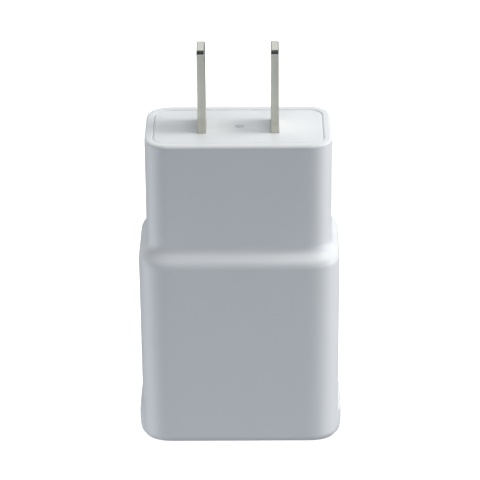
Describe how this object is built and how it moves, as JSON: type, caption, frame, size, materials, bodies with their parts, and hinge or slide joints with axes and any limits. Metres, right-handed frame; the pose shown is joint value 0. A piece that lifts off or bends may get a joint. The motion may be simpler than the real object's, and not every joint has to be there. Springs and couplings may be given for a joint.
{
  "type": "usb wall charger",
  "caption": "Small white USB wall charger with a stepped rounded housing, two flat mains blades on its inset face plate and a USB port in its base.",
  "frame": {"origin": "centre of the flat base that holds the USB port, on the surface the charger stands on", "axes": "+Z from the base towards the tips of the blades; +X across the two blades; +Y towards the back"},
  "size_m": [0.0362, 0.023, 0.072],
  "materials": {
    "moulded_body": "fine satin moulded surface, cool white",
    "moulded_plate": "fine satin moulded surface, cool white",
    "blade_metal": "satin nickel plating with polished bevels",
    "clip_metal": "bare phosphor bronze sheet",
    "board_laminate": "green solder mask over glass-fibre laminate",
    "insulation_film": "smooth amber film",
    "port_steel": "nickel-plated sheet",
    "port_insulator": "white moulded insulator",
    "contact_gold": "gold flash over copper alloy",
    "ferrite": "dark grey sintered ferrite",
    "bobbin_plastic": "black phenolic moulding",
    "enamelled_wire": "varnished copper wire",
    "winding_tape": "yellow polyester tape",
    "tinned_pins": "tinned wire",
    "capacitor_sleeve": "shrink sleeve",
    "polymer_can": "bare drawn can",
    "resistor_coat": "matt cement coat",
    "disc_coat": "blue epoxy coat over a ceramic disc",
    "package_black": "moulded epoxy",
    "chip_ceramic": "bare ceramic"
  },
  "bodies": {
    "root": {"housing": "moulded_body", "face_plate": "moulded_plate", "blade_left": "blade_metal", "blade_right": "blade_metal", "contact_clip_left": "clip_metal", "contact_clip_right": "clip_metal", "main_board": "board_laminate", "insulating_sheet": "insulation_film", "usb_shell": "port_steel", "usb_tongue": "port_insulator", "usb_contacts": "contact_gold", "transformer_core_front": "ferrite", "transformer_core_back": "ferrite", "transformer_bobbin": "bobbin_plastic", "transformer_winding": "enamelled_wire", "transformer_tape": "winding_tape", "transformer_pins": "tinned_pins", "input_capacitor_left": "capacitor_sleeve", "input_capacitor_right": "capacitor_sleeve", "input_choke_core": "ferrite", "input_choke_winding": "enamelled_wire", "fusible_resistor": "resistor_coat", "y_capacitor": "disc_coat", "bridge_rectifier": "package_black", "controller_ic": "package_black", "optocoupler": "package_black", "output_rectifier": "package_black", "output_capacitor_left": "polymer_can", "output_capacitor_right": "polymer_can", "chip_resistors": "chip_ceramic", "chip_capacitors": "chip_ceramic"}
  },
  "joints": []
}
